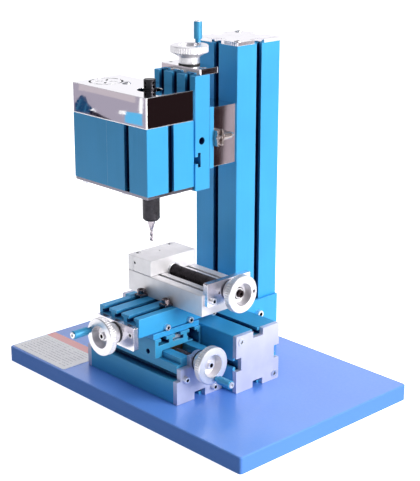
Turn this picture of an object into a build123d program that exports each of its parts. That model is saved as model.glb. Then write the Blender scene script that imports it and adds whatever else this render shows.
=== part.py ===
from build123d import *
import os
from math import cos, pi, radians, sin, sqrt

# A small bench milling machine on a flat board, in millimetres.
# Origin: centre of the board's underside. +X right, -Y towards the operator, +Z up.

# --- driving dimensions -------------------------------------------------------
BOARD = (296, 195, 14)              # wooden base board: width, depth, thickness
BEAM = 50                           # square section of the bed and column beams
PLATE = 4                           # thickness of the beams' end plates
SLOT_MOUTH = 6                      # T-slot: opening, inner width, lip and depth
SLOT_CAVITY = 11.5
SLOT_LIP = 2.6
SLOT_DEPTH = 5.8

BED_X = (-80, 65)                   # ends of the bed beam, end plates included
BED_Y = (-21, 29)
COLUMN_X = -12.5                    # centre of the column, the head and the Z slide
COLUMN_Y = BED_Y[1] + BEAM / 2
COLUMN_TOP = 292

SLIDE_W = 50                        # slide carriage: width, height, leg width, cavity depth
SLIDE_H = 16
LEG_W = 7.5
CAVITY = 5.4
SLOT_PITCH = 15.6
RAIL_GAP = 0.5                      # running gap between a carriage's legs and its rail
AXIS_DROP = 0.35                    # lead-screw axis below the carriage's legs
LEAD_R = 3                          # lead screw and its running clearance
RUN_FIT = 0.05
END_W = 48                          # slide end plate: width, height, thickness
END_H = 20
END_T = 4.8
END_SCREWS = [(-19.3, 2.5), (19.3, 2.5)]   # its screws, how deep their heads sit, their length
END_SINK = 3
END_SCREW_L = 10

X_Y = -47                           # X slide: centre line, leg height, rail and carriage ends
X_Z = 46.9
X_RAIL = (-61.5, 44.7)
X_PLATE_T = 4.5
X_BLOCK_TOP = 34
X_CARRIAGE = (-27, 23)
Y_X = -5                            # Y slide: centre line and table ends
Y_TABLE = (-86.2, 6)
Y_RAIL_T = 4.3
Z_SLIDE = (175.7, 270)            # Z slide: ends of the carriage, height of its short rail
Z_RAIL = (192, 243)
Z_RAIL_T = 4.3
HEAD_BACK = -17.8                   # back face of the milling head, on the Z slide's ridges
CLAMP_Y = (3, BED_Y[1])             # block that clamps the Z rail to the column

HEAD_X = (-82.5, 11)                # head: motor housing on the left, spindle beam on the right
HEAD_Y = (HEAD_BACK - BEAM, HEAD_BACK)
HEAD_Z = (179.6, 234.4)
COVER_TOP = 259.2
SPINDLE = (-14, HEAD_BACK - BEAM / 2)
MOTOR = (-61, HEAD_BACK - BEAM / 2)

WHEEL_R = 15.7                      # handwheel: radius, height, and the hub's radius and length
WHEEL_H = 15
HUB_R = 8.6
HUB_L = 5.4
RIM_T = 6                           # its rim, its dish, the handle's circle and the rim's flutes
DISH_R = 9.4
DISH_DEPTH = 6.8
CRANK_R = 12.2
FLUTES = 48
SCREW_SEAT = WHEEL_H - DISH_DEPTH + 2.2         # the hub screw's head stands here
PIN_SEAT = WHEEL_H - RIM_T + 0.4                # the handle's pin is pressed in from here
GRIP_R = 3.5                        # handle grip: radius, neck and far end, and its pin
GRIP_NECK = 3.2
GRIP_END = 17.4
PIN_R = 1.5
PIN_HEAD_R = 2.6

VISE_X = (-42, 49.5)                # vise body, jaw parting, jaw top and screw axis
VISE_Y = (-45, 6)
JAW_PART = -36
JAW_END = -13
VISE_BODY_H = 18
JAW_H = 31.5
VISE_SCREW_R = 5

# --- values worked out from them ----------------------------------------------
BOARD_TOP = BOARD[2]
Y_Z = X_Z + SLIDE_H + Y_RAIL_T + RAIL_GAP       # height of the Y table's legs
TABLE_TOP = Y_Z + SLIDE_H
Z_Y = HEAD_BACK + SLIDE_H                       # the Z carriage's legs end here
VISE_MID = sum(VISE_Y) / 2
VISE_AXIS = TABLE_TOP + VISE_BODY_H + 0.6
SCREW_R = {"M3": (1.5, 2.75, 3.0), "M4": (2.0, 3.5, 4.0), "M5": (2.5, 4.25, 5.0)}

parts = {}


# --- helpers --------------------------------------------------------------------
def block(x, y, z):
    """A box between two ends on each axis."""
    size = [b - a for a, b in (x, y, z)]
    middle = [(a + b) / 2 for a, b in (x, y, z)]
    return Pos(*middle) * Box(*size)


def rod(radius, start, end, along="z", at=(0, 0)):
    """A round bar along an axis, from start to end, at the other two coordinates."""
    mid = (start + end) / 2
    bar = Cylinder(radius, end - start)
    if along == "x":
        return Pos(mid, *at) * (Rot(0, 90, 0) * bar)
    if along == "y":
        return Pos(at[0], mid, at[1]) * (Rot(90, 0, 0) * bar)
    return Pos(*at, mid) * bar


def edge_round(shape, radius, axis):
    """Round the long outer edges that run along an axis."""
    edges = shape.edges().filter_by(axis)
    return fillet(edges, radius)


def cap_screw(size, length):
    """A socket head screw: the head stands on z=0 and the shank goes down."""
    shank, head, height = SCREW_R[size]
    body = rod(head, 0, height) + rod(shank, -length, 0)
    body = chamfer(body.edges().group_by(Axis.Z)[-1], head * 0.12)
    socket = extrude(Pos(0, 0, height * 0.45) * RegularPolygon(shank * 0.98, 6), height)
    return body - socket


def turned(shape, direction):
    """Turn a piece built up +Z so that it points along a direction."""
    return Plane(origin=(0, 0, 0), z_dir=direction).location * shape


def group(pieces):
    """Separate solids kept together as one node."""
    return Compound(children=list(pieces))


def tslot(mouth=SLOT_MOUTH, cavity=SLOT_CAVITY, lip=SLOT_LIP, depth=SLOT_DEPTH):
    """A T-slot's outline, opening at y=0 and going down."""
    opening = Pos(0, -lip / 2) * Rectangle(mouth, lip)
    inside = Pos(0, -(lip + depth) / 2) * Rectangle(cavity, depth - lip)
    return opening + inside


def beam_outline():
    """The 50 mm square beam: a T-slot in each side, a middle bore and four screw bores."""
    outline = fillet(Rectangle(BEAM, BEAM).vertices(), 0.8)
    for turn in range(4):
        outline -= Rot(0, 0, 90 * turn) * (Pos(0, BEAM / 2) * tslot())
    outline -= Circle(12.5)
    outline -= GridLocations(BEAM - 11, BEAM - 11, 2, 2) * Circle(2.1)
    return outline


def end_plate_outline():
    """A beam's end plate, notched at each slot, with two screw holes across a diagonal."""
    plate = fillet(Rectangle(BEAM, BEAM).vertices(), 0.8)
    notch = Rectangle(SLOT_CAVITY, 2 * SLOT_DEPTH)
    for turn in range(4):
        plate -= Rot(0, 0, 90 * turn) * (Pos(0, BEAM / 2) * notch)
    corner = (BEAM - 11) / 2
    for side in (1, -1):
        plate -= Pos(-side * corner, side * corner) * Circle(2.1)
    return plate


def carriage_outline():
    """The slide carriage in section: legs on y=0, three T-slots in the top."""
    outline = Pos(0, SLIDE_H / 2) * Rectangle(SLIDE_W, SLIDE_H)
    outline = fillet(outline.vertices(), 0.5)
    outline -= Pos(0, CAVITY / 2) * Rectangle(SLIDE_W - 2 * LEG_W, CAVITY)
    slot = tslot(SLOT_MOUTH, SLOT_CAVITY, 2.6, 5.8)
    for place in (-SLOT_PITCH, 0, SLOT_PITCH):
        outline -= Pos(place, SLIDE_H) * slot
    return outline


def slide_frame(origin, travel, up):
    """A slide's own frame: x runs along its travel to the handwheel, z away from the rail."""
    return Plane(origin=origin, x_dir=travel, z_dir=up).location


X_FRAME = slide_frame((0, X_Y, X_Z), (1, 0, 0), (0, 0, 1))
Y_FRAME = slide_frame((Y_X, 0, Y_Z), (0, -1, 0), (0, 0, 1))
Z_FRAME = slide_frame((COLUMN_X, Z_Y, 0), (0, 0, 1), (0, -1, 0))


def along_slide(outline, start, end):
    """Extrude a section, drawn across the slide, along the slide's travel."""
    section = Plane(origin=(start, 0, 0), x_dir=(0, 1, 0), z_dir=(1, 0, 0)) * outline
    return extrude(section, end - start)


# --- base board, bed and column --------------------------------------------------
def base_board():
    board = block((-BOARD[0] / 2, BOARD[0] / 2), (-BOARD[1] / 2, BOARD[1] / 2), (0, BOARD[2]))
    board = edge_round(board, 2.5, Axis.Z)
    board = chamfer(board.faces().sort_by(Axis.Z)[-1].edges(), 0.8)
    for x, y in BOARD_BOLTS:
        board -= rod(2.7, -1, BOARD_TOP + 1, at=(x, y))
        board -= rod(5, -1, 5.2, at=(x, y))
    return board


BOARD_BOLTS = [(x, y) for x in (-50, 32) for y in (X_Y, sum(BED_Y) / 2)]


def board_bolt():
    """A bolt up through the board into a square nut in a beam's bottom slot."""
    bolt = turned(cap_screw("M5", 14.2), (0, 0, -1))
    nut = Pos(0, 0, 12.9) * (Box(8, 8, 2.4) - Cylinder(2.5, 3))
    return bolt, nut


def board_bolts():
    bolts = []
    for x, y in BOARD_BOLTS:
        bolts += [Pos(x, y, 5.2) * piece for piece in board_bolt()]
    return group(bolts)


def label_card():
    """A plain instruction card let into the board's front left corner."""
    card = block((-146, -71.5), (-95, -48.5), (BOARD_TOP, BOARD_TOP + 0.3))
    return edge_round(card, 2, Axis.Z)


def bed_beam():
    start, end = BED_X[0] + PLATE, BED_X[1] - PLATE
    place = Plane(origin=(start, sum(BED_Y) / 2, BOARD_TOP + BEAM / 2), x_dir=(0, 1, 0), z_dir=(1, 0, 0))
    return extrude(place * beam_outline(), end - start)


def bed_end_plate(x, outward):
    middle = (x, sum(BED_Y) / 2, BOARD_TOP + BEAM / 2)
    place = Plane(origin=middle, x_dir=(0, outward, 0), z_dir=(outward, 0, 0))
    return extrude(place * end_plate_outline(), PLATE)


def plate_screw():
    """A low-headed socket screw standing on z=0."""
    return rod(3.2, 0, 0.6) + rod(2.0, -12, 0) - extrude(RegularPolygon(1.6, 6), 2)


def beam_end_screws():
    """Flat-headed socket screws in the end plates of the bed and of the column."""
    screws = []
    corner = (BEAM - 11) / 2
    for x, outward in ((BED_X[0], -1), (BED_X[1], 1)):
        screw = turned(plate_screw(), (outward, 0, 0))
        for side in (1, -1):
            y = sum(BED_Y) / 2 - side * outward * corner
            z = BOARD_TOP + BEAM / 2 + side * corner
            screws.append(Pos(x, y, z) * screw)
    for side in (1, -1):
        place = Pos(COLUMN_X - side * corner, COLUMN_Y + side * corner, COLUMN_TOP)
        screws.append(place * plate_screw())
    return group(screws)


def column_beam():
    length = COLUMN_TOP - 3 - BOARD_TOP
    return Pos(COLUMN_X, COLUMN_Y, BOARD_TOP) * extrude(beam_outline(), length)


def column_cap():
    cap = extrude(end_plate_outline(), 3)
    return Pos(COLUMN_X, COLUMN_Y, COLUMN_TOP - 3) * cap


BRACKET_T = 3
BRACKET_TOP = 64.5
FOOT_REACH = 16                     # the bracket's foot: reach, width and screw line
FOOT_Y = (BED_Y[1] + 1, BED_Y[1] + 29)
FOOT_SCREW = 10
SLOT_BOLT_Z = (30, 51.5)
FOOT_SCREW_Y = (FOOT_Y[0] + 7, FOOT_Y[1] - 7)


def column_bracket(side):
    """An angle bracket that holds the column's side to the board."""
    face = COLUMN_X + side * BEAM / 2
    x = sorted((face, face + side * BRACKET_T))
    foot_x = sorted((face, face + side * FOOT_REACH))
    bracket = block(x, (BED_Y[1] + 0.5, BED_Y[1] + BEAM - 1), (BOARD_TOP, BRACKET_TOP))
    bracket += block(foot_x, FOOT_Y, (BOARD_TOP, BOARD_TOP + BRACKET_T))
    for z in SLOT_BOLT_Z:
        bracket -= rod(2.2, min(x) - 1, max(x) + 1, "x", (COLUMN_Y, z))
    for y in FOOT_SCREW_Y:
        bracket -= rod(2.2, BOARD_TOP - 1, BOARD_TOP + 9, at=(face + side * FOOT_SCREW, y))
    return bracket


def column_bracket_screws():
    """Cap screws into nuts in the column's side slots, and wood screws into the board."""
    screws = []
    for side in (-1, 1):
        face = COLUMN_X + side * BEAM / 2
        into_slot = turned(cap_screw("M4", 8.2), (side, 0, 0))
        nut = turned(Pos(0, 0, -7.2) * (Box(8, 8, 2) - Cylinder(2.05, 3)), (side, 0, 0))
        for z in SLOT_BOLT_Z:
            place = Pos(face + side * BRACKET_T, COLUMN_Y, z)
            screws += [place * into_slot, place * nut]
        for y in FOOT_SCREW_Y:
            place = Pos(face + side * FOOT_SCREW, y, BOARD_TOP + BRACKET_T)
            screws.append(place * cap_screw("M4", BRACKET_T))
    return group(screws)


# --- pieces that the slides share ---------------------------------------------------
def carriage(start, end):
    return along_slide(carriage_outline(), start, end)


def lead_screw(start, end):
    screw = rod(LEAD_R, start, end, "x", (0, -AXIS_DROP))
    return chamfer(screw.edges().sort_by(Axis.X)[0], 0.8)


def nut(start, end, top, width=13):
    """A bronze nut block round the lead screw."""
    body = block((start, end), (-width / 2, width / 2), (-AXIS_DROP - 6, top))
    return body - rod(LEAD_R + RUN_FIT, start - 1, end + 1, "x", (0, -AXIS_DROP))


def end_plate(start):
    """A carriage's polished end plate: it holds the lead screw's bearing."""
    low = -AXIS_DROP - END_H / 2
    plate = block((start, start + END_T), (-END_W / 2, END_W / 2), (low, low + END_H))
    plate = fillet(plate.edges().filter_by(Axis.X), 1.2)
    plate -= rod(LEAD_R + RUN_FIT, start - 1, start + END_T + 1, "x", (0, -AXIS_DROP))
    for at in END_SCREWS:
        plate -= rod(1.5, start - 1, start + END_T + 1, "x", at)
        plate -= rod(2.75, start + END_T - END_SINK, start + END_T + 1, "x", at)
    return plate


def end_plate_screws(start):
    screw = turned(cap_screw("M3", END_SCREW_L), (1, 0, 0))
    return [Pos(start + END_T - END_SINK, *at) * screw for at in END_SCREWS]


def end_bored(shape, end):
    """Bore a carriage's legs for the screws of its end plate."""
    for at in END_SCREWS:
        shape -= rod(1.5, end + END_T - END_SINK - END_SCREW_L, end + 1, "x", at)
    return shape


def handwheel():
    """A dished handwheel, hub at z=0 and face at z=WHEEL_H, with a fluted rim."""
    rim_low = WHEEL_H - RIM_T
    floor = WHEEL_H - DISH_DEPTH
    profile = Polyline(
        (0, 0), (HUB_R - 0.4, 0), (HUB_R, 0.4), (HUB_R, HUB_L), (WHEEL_R - 2.2, rim_low - 0.4),
        (WHEEL_R - 0.5, rim_low), (WHEEL_R, rim_low + 0.5), (WHEEL_R, WHEEL_H - 0.6),
        (WHEEL_R - 0.6, WHEEL_H), (DISH_R, WHEEL_H), (DISH_R - 1, floor), (4.4, floor),
        (4.4, floor + 2.2), (0, floor + 2.2), close=True)
    wheel = revolve(Plane.XZ * make_face(profile), Axis.Z)
    wheel -= rod(1.1, HUB_R - 4, HUB_R + 1, "x", (0, HUB_L / 2))
    flute = rod(0.6, rim_low + 0.7, WHEEL_H - 0.9, at=(WHEEL_R + 0.12, 0))
    wheel -= PolarLocations(0, FLUTES) * flute
    wheel -= rod(LEAD_R, -1, SCREW_SEAT - 0.1)
    wheel -= rod(PIN_R, PIN_SEAT, WHEEL_H + 1, at=(CRANK_R, 0))
    return wheel


def wheel_screw():
    """The socket screw that holds a handwheel on its lead screw."""
    head = rod(2.9, SCREW_SEAT, SCREW_SEAT + 2.4)
    return head - extrude(Pos(0, 0, SCREW_SEAT + 0.8) * RegularPolygon(1.7, 6), 3)


def wheel_pin():
    """The headed pin, pressed into the wheel, that a handle turns on."""
    at = (CRANK_R, 0)
    pin = rod(PIN_R, PIN_SEAT, WHEEL_H + GRIP_END, at=at)
    pin += rod(PIN_HEAD_R, WHEEL_H + GRIP_END - 0.6, WHEEL_H + GRIP_END + 0.8, at=at)
    return pin - extrude(Pos(*at, WHEEL_H + GRIP_END - 0.4) * RegularPolygon(1.3, 6), 2)


def wheel_grip():
    """The turned grip of a handle, loose on its pin."""
    at = (CRANK_R, 0)
    grip = rod(GRIP_R, WHEEL_H + GRIP_NECK, WHEEL_H + GRIP_END, at=at)
    grip = fillet(grip.edges().filter_by(GeomType.CIRCLE), 0.7)
    grip += rod(2.3, WHEEL_H + 0.4, WHEEL_H + GRIP_NECK + 0.1, at=at)
    grip -= rod(PIN_R + RUN_FIT, WHEEL_H, WHEEL_H + GRIP_END, at=at)
    return grip - rod(PIN_HEAD_R + RUN_FIT, WHEEL_H + GRIP_END - 0.8, WHEEL_H + GRIP_END + 1, at=at)


def wheel_frame(slide, face_start, crank_angle):
    """Where a slide's handwheel sits, turned so that its handle is at an angle."""
    spin = Location((0, 0, 0), (0, 0, crank_angle))
    return slide * Plane(origin=(face_start, 0, -AXIS_DROP), x_dir=(0, 1, 0), z_dir=(1, 0, 0)).location * spin


def wheel_set(name, slide, hub_start, screw_start, crank_angle):
    """A lead screw and its handwheel with a turning handle."""
    place = wheel_frame(slide, hub_start, crank_angle)
    screw_end = hub_start + SCREW_SEAT - 0.1
    parts[f"{name}_lead_screw"] = slide * lead_screw(screw_start, screw_end)
    parts[f"{name}_handwheel"] = place * group([handwheel(), wheel_screw(), wheel_pin()])
    parts[f"{name}_handle_grip"] = place * wheel_grip()


# --- X slide ---------------------------------------------------------------------------
def guide_outline():
    """The two guides on a rail's top that run inside the carriage's cavity."""
    height = CAVITY - 0.5
    guide = Pos(0, height / 2 - RAIL_GAP) * Rectangle(8.6, height)
    return Pos(-12.3, 0) * guide + Pos(12.3, 0) * guide


def x_rail():
    """The long X rail: a slotted foot block with the guide rail on top."""
    foot = Pos(0, (BOARD_TOP + X_BLOCK_TOP) / 2 - X_Z) * Rectangle(SLIDE_W, X_BLOCK_TOP - BOARD_TOP)
    foot = fillet(foot.vertices(), 0.6)
    foot -= Pos(0, BOARD_TOP - X_Z) * (Rot(0, 0, 180) * tslot())
    top = -RAIL_GAP
    low = X_BLOCK_TOP - X_Z
    neck = Pos(0, low + 2.6) * Rectangle(33, 5.4)
    head = Pos(0, (low + 5.2 + top) / 2) * Rectangle(42, top - low - 5.2)
    rail = foot + neck + head
    rail += guide_outline()
    rail -= Pos(0, top - 3.4) * Rectangle(15, 7)
    return along_slide(rail, *X_RAIL)


def x_end_plate_outline():
    """Foot part as wide as the rail, then a narrower upper part round the screw."""
    low = BOARD_TOP - X_Z + 0.2
    step = X_BLOCK_TOP - X_Z
    plate = Pos(0, (low + step) / 2) * Rectangle(SLIDE_W, step - low)
    plate += Pos(0, (step - 3) / 2) * Rectangle(42, -step - 3 + 0.02)
    plate += Pos(0, -1.4) * Rectangle(20, 14)
    plate += Pos(0, -AXIS_DROP) * Circle(8)
    plate -= Pos(0, low) * Rectangle(12, 13)
    plate -= Pos(0, -AXIS_DROP) * Circle(LEAD_R + RUN_FIT)
    for y, z in X_PLATE_SCREWS:
        plate -= Pos(y, z) * Circle(1.6)
    return plate


X_PLATE_SCREWS = [(-15.8, -12.4), (15.2, -27.5)]


def x_end_plate(start):
    return along_slide(x_end_plate_outline(), start, start + X_PLATE_T)


def x_end_screws():
    screws = []
    for x, outward in ((X_RAIL[1] + X_PLATE_T, 1), (X_RAIL[0] - X_PLATE_T, -1)):
        screw = turned(cap_screw("M3", 4), (outward, 0, 0))
        screws += [Pos(x, y, z) * screw for y, z in X_PLATE_SCREWS]
    return group(screws)


GIB_SCREW_Z = 2.3


def gib_screws(places, side, length=5):
    screw = turned(cap_screw("M3", length), (0, side, 0))
    return [Pos(x, side * SLIDE_W / 2, GIB_SCREW_Z) * screw for x in places]


def drilled_leg(shape, places, side):
    """Bore a carriage's leg for its gib screws."""
    for x in places:
        shape -= rod(1.5, *sorted((side * 20, side * 26)), "y", (x, GIB_SCREW_Z))
    return shape


GIB_POCKET = [((11, 23.4), (6.2, 11)), ((16.4, 23.4), (1.4, 6.4))]    # milled in one end of the X carriage


def make_x_slide():
    parts["x_rail"] = X_FRAME * x_rail()
    plates = [x_end_plate(X_RAIL[1]), x_end_plate(X_RAIL[0] - X_PLATE_T)]
    parts["x_end_plates"] = X_FRAME * group(plates)
    parts["x_end_screws"] = X_FRAME * x_end_screws()
    start, end = X_CARRIAGE
    body = carriage(start, end)
    body -= rod(2.2, -26, -20, "y", (end - 9, 4.2))
    for y, z in GIB_POCKET:
        body -= block((end - 12, end + 1), y, z)
    parts["x_carriage"] = X_FRAME * body
    wheel_set("x", X_FRAME, X_RAIL[1] + 5.6, X_RAIL[0] - 4, -75)


# --- Y slide ---------------------------------------------------------------------------
Y_GIB_SCREWS = (57.2, 31.8, 6)
RAIL_BOLT_REACH = 20.5              # bolts that hold the Y rail to the X carriage, either side


def short_rail(start, end, thickness, width):
    """A short rail: a plate and two guides, with a channel for the lead screw and its nut."""
    plate = block((start, end), (-width / 2, width / 2), (-RAIL_GAP - thickness, -RAIL_GAP))
    plate += along_slide(guide_outline(), start, end)
    return plate - block((start - 1, end + 1), (-6.8, 6.8), (-RAIL_GAP - thickness + 0.6, 1))


def rail_nut(middle, thickness):
    """The bronze nut fixed in a short rail's channel."""
    body = block((middle - 8, middle + 8), (-6.7, 6.7), (0.1 - thickness, 3.4))
    return body - rod(LEAD_R + RUN_FIT, middle - 9, middle + 9, "x", (0, -AXIS_DROP))


def rail_bolt():
    """A flush screw, its head in the Y rail, and its nut in the carriage's middle slot."""
    seat = -RAIL_GAP - 2.4
    top = -RAIL_GAP - Y_RAIL_T
    screw = rod(2.8, seat, seat + 2, at=(0, 0)) + rod(1.5, top - 5.4, seat, at=(0, 0))
    screw -= extrude(Pos(0, 0, seat + 0.9) * RegularPolygon(1.5, 6), 2)
    slot_nut = Pos(0, 0, top - SLOT_LIP - 1.4) * (Box(10.6, 9, 2.8) - Cylinder(1.55, 4))
    return [screw, slot_nut]


def make_y_slide():
    front, back = -(X_Y - SLIDE_W / 2), -(X_Y + SLIDE_W / 2)
    middle = (front + back) / 2
    rail = short_rail(back, front, Y_RAIL_T, 52)
    bolts = []
    for side in (-1, 1):
        at = (middle, side * RAIL_BOLT_REACH)
        rail -= rod(1.6, -9, 1, at=at) + rod(2.9, -RAIL_GAP - 2.4, 1, at=at)
        bolts += [Pos(*at, 0) * piece for piece in rail_bolt()]
    parts["y_rail"] = Y_FRAME * rail
    parts["y_rail_bolts"] = Y_FRAME * group(bolts)
    x_nut = X_FRAME * nut(X_CARRIAGE[1] - 16, X_CARRIAGE[1] - 2, CAVITY)
    parts["carriage_nuts"] = group([x_nut, Y_FRAME * rail_nut(middle, Y_RAIL_T)])
    start, end = -Y_TABLE[1], -Y_TABLE[0]
    table = drilled_leg(carriage(start, end), Y_GIB_SCREWS, 1)
    parts["y_table"] = Y_FRAME * end_bored(table, end)
    parts["y_end_plate"] = Y_FRAME * end_plate(end)
    parts["y_table_screws"] = Y_FRAME * group(end_plate_screws(end) + gib_screws(Y_GIB_SCREWS, 1))
    wheel_set("y", Y_FRAME, end + END_T + 1.1, start + 6, 166)


# --- Z slide and its clamp ----------------------------------------------------------------
CROSS_SLOT_Z = 201.3
SIDE_HOLE_Z = 216.8
SIDE_HOLE_R = 3.1


def make_z_slide():
    body = end_bored(carriage(*Z_SLIDE), Z_SLIDE[1])
    mouth = block((CROSS_SLOT_Z - 3, CROSS_SLOT_Z + 3), (-30, 30), (SLIDE_H - 3, SLIDE_H + 1))
    cavity = block((CROSS_SLOT_Z - 6, CROSS_SLOT_Z + 6), (-30, 30), (SLIDE_H - 5.8, SLIDE_H - 2.8))
    body -= mouth + cavity
    body -= rod(SIDE_HOLE_R, -26, -19.5, "y", (SIDE_HOLE_Z, 8.9))
    parts["z_carriage"] = Z_FRAME * body
    parts["z_end_plate"] = Z_FRAME * end_plate(Z_SLIDE[1])
    wheel_set("z", Z_FRAME, Z_SLIDE[1] + END_T + 1.1, Z_SLIDE[0] + 4, 282)
    parts["z_rail"] = Z_FRAME * short_rail(*Z_RAIL, Z_RAIL_T, 49)
    middle = sum(Z_RAIL) / 2
    parts["z_nut"] = Z_FRAME * rail_nut(middle, Z_RAIL_T)


def make_z_clamp():
    """The block between the Z rail and the column, with polished side plates."""
    half = BEAM / 2 - 2.7
    z = (192.6, 242)
    core = block((COLUMN_X - half, COLUMN_X + half), CLAMP_Y, z)
    for lift in (-14, 14):
        core -= rod(2.5, 0, 30, "y", (COLUMN_X, sum(z) / 2 + lift))
    parts["z_clamp_block"] = core
    plates = []
    for side in (-1, 1):
        x = sorted((COLUMN_X + side * half, COLUMN_X + side * (half + 1.2)))
        plates.append(block(x, (CLAMP_Y[0] + 0.2, CLAMP_Y[1] - 0.2), z))
    parts["z_clamp_side_plates"] = group(plates)
    bolts = []
    for lift in (-14, 14):
        bolt = rod(2.5, CLAMP_Y[0] + 1, CLAMP_Y[1] + 5.4, "y", (COLUMN_X, sum(z) / 2 + lift))
        nut_plate = block((COLUMN_X - 4, COLUMN_X + 4), (CLAMP_Y[1] + 2.8, CLAMP_Y[1] + 5.2),
                          (sum(z) / 2 + lift - 4, sum(z) / 2 + lift + 4))
        bolts += [bolt, nut_plate - rod(2.55, 30, 36, "y", (COLUMN_X, sum(z) / 2 + lift))]
    parts["z_clamp_bolts"] = group(bolts)
    x = COLUMN_X + half + 1.2 + 3.3
    seat = block((x - 3.3, x + 2.2), (CLAMP_Y[0], CLAMP_Y[0] + 1.6), (210.5, 223.5))
    seat += block((x - 3.3, x + 2.2), (CLAMP_Y[0] + 5.6, CLAMP_Y[0] + 7.2), (210.5, 223.5))
    seat += block((x - 3.3, x - 1.8), (CLAMP_Y[0], CLAMP_Y[0] + 7.2), (210.5, 223.5))
    seat -= rod(1.55, 0, 12, "y", (x, 217.5))
    pin = rod(1.55, CLAMP_Y[0] - 0.6, CLAMP_Y[0] + 8, "y", (x, 217.5))
    pin += rod(3.1, CLAMP_Y[0] + 7.3, CLAMP_Y[0] + 16, "y", (x, 217.5))
    nose = turned(Pos(0, 0, 2) * Cone(3.1, 1.4, 4), (0, 1, 0))
    parts["z_lock"] = group([seat, pin + Pos(x, CLAMP_Y[0] + 16, 217.5) * nose])


# --- milling head ---------------------------------------------------------------------------
WALL = 3


def spindle_beam():
    """The right half of the head: a slotted beam bored for the spindle."""
    outline = Rectangle(BEAM, BEAM)
    outline = fillet(outline.vertices().group_by(Axis.X)[-1], 0.8)
    for turn in (0, 2, 3):
        outline -= Rot(0, 0, 90 * turn) * (Pos(0, BEAM / 2) * tslot())
    outline -= Circle(11)
    beam = extrude(outline, HEAD_Z[1] - HEAD_Z[0])
    return Pos(*SPINDLE, HEAD_Z[0]) * beam


def motor_housing():
    """The left half of the head: a plain box shell open at the top and bottom."""
    x = (HEAD_X[0], SPINDLE[0] - BEAM / 2)
    shell = block(x, HEAD_Y, HEAD_Z)
    left_edges = shell.edges().filter_by(Axis.Z).group_by(Axis.X)[0]
    shell = fillet(left_edges, 0.8)
    return shell - block((x[0] + WALL, x[1] - WALL), (HEAD_Y[0] + WALL, HEAD_Y[1] - WALL), (0, 300))


def belt_cover():
    """The chromed cover over the belt: an open-bottomed tray with vents and two holes."""
    cover = block(HEAD_X, HEAD_Y, (HEAD_Z[1], COVER_TOP))
    cover = edge_round(cover, 0.8, Axis.Z)
    cover -= block((HEAD_X[0] + 1.5, HEAD_X[1] - 1.5), (HEAD_Y[0] + 1.5, HEAD_Y[1] - 1.5),
                   (HEAD_Z[1] - 1, COVER_TOP - 1.6))
    cover -= rod(10.2, COVER_TOP - 4, COVER_TOP + 1, at=SPINDLE)
    cover -= rod(SOCKET_R, COVER_TOP - 4, COVER_TOP + 1, at=SOCKET)
    for turn in range(4):
        cover -= Pos(*VENT, COVER_TOP - 4) * (Rot(0, 0, 90 * turn) * vent_slot())
    return cover


VENT = (-66, -45.5)
VENT_R = 13.6
SOCKET = (-48.6, -38)
SOCKET_R = 3


def vent_slot():
    """A curved slot that takes up most of a quarter turn."""
    arc = CenterArc((0, 0), VENT_R, 8, 74)
    slot = SlotArc(arc, 1.8)
    spoke = Rot(0, 0, 45) * (Pos(6, 0) * SlotOverall(7, 1.8))
    return extrude(slot, 6) + extrude(spoke, 6)


def head_bottom_plate():
    plate = block((HEAD_X[0] + 0.4, HEAD_X[1] - 0.4), (HEAD_Y[0] + 0.4, HEAD_Y[1] - 0.4),
                  (HEAD_Z[0] - 2.4, HEAD_Z[0]))
    plate = edge_round(plate, 0.8, Axis.Z)
    plate -= rod(7.4, 170, 190, at=SPINDLE)
    plate -= rod(6.2, 170, 190, at=MOTOR)
    for x, y in PLATE_SCREWS:
        plate -= rod(1.7, 170, 190, at=(x, y))
    return plate


PLATE_SCREWS = [(SPINDLE[0] + 19, SPINDLE[1] + 12), (SPINDLE[0] - 10, SPINDLE[1] - 19),
                (HEAD_X[0] + 7, HEAD_Y[0] + 6), (HEAD_X[0] + 7, HEAD_Y[1] - 6), (-44.5, HEAD_Y[1] - 6)]


def head_bottom_screws():
    screw = turned(cap_screw("M3", 2.2), (0, 0, -1))
    screw = Pos(0, 0, HEAD_Z[0] - 2.4) * screw
    return [Pos(x, y, 0) * screw for x, y in PLATE_SCREWS]


def ring(outer, inner, low, high, at):
    return rod(outer, low, high, at=at) - rod(inner, low - 1, high + 1, at=at)


MOTOR_TOP = 228
MOTOR_R = 17.5
MOTOR_SHAFT_R = 1.6


def motor():
    """A round direct-current motor that stands on the head's bottom plate."""
    can = rod(MOTOR_R, HEAD_Z[0], MOTOR_TOP, at=MOTOR)
    can = fillet(can.edges().group_by(Axis.Z)[-1], 1.5)
    can += rod(6, MOTOR_TOP - 1, MOTOR_TOP + 3, at=MOTOR)
    return can - rod(MOTOR_SHAFT_R + RUN_FIT, 170, 250, at=MOTOR)


def pulley(radius, at, low, bore):
    """A round-belt pulley: two flanges and a grooved middle."""
    wheel = ring(radius + 1.6, bore, low, low + 1.2, at)
    wheel += ring(radius, bore, low + 1.2, low + 5.2, at)
    return wheel + ring(radius + 1.6, bore, low + 5.2, low + 6.4, at)


MOTOR_PULLEY_R = 6
SPINDLE_PULLEY_R = 9
PULLEY_Z = 239


def drive_belt():
    """A flat belt loop that stands a hair off both pulleys."""
    gap = 0.35
    thickness = 1.0

    def loop(extra):
        big, small = SPINDLE_PULLEY_R + extra, MOTOR_PULLEY_R + extra
        span = SPINDLE[0] - MOTOR[0]
        lean = (big - small) / span
        rise = sqrt(1 - lean * lean)
        straight = make_face(Polyline(
            (-small * lean, small * rise), (span - big * lean, big * rise),
            (span - big * lean, -big * rise), (-small * lean, -small * rise), close=True))
        return straight + Circle(small) + Pos(span, 0) * Circle(big)

    belt = extrude(loop(gap + thickness) - loop(gap), 3.2)
    return Pos(*MOTOR, PULLEY_Z + 1.6) * belt


BEARING_H = 7
SHAFT_R = 4


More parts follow.
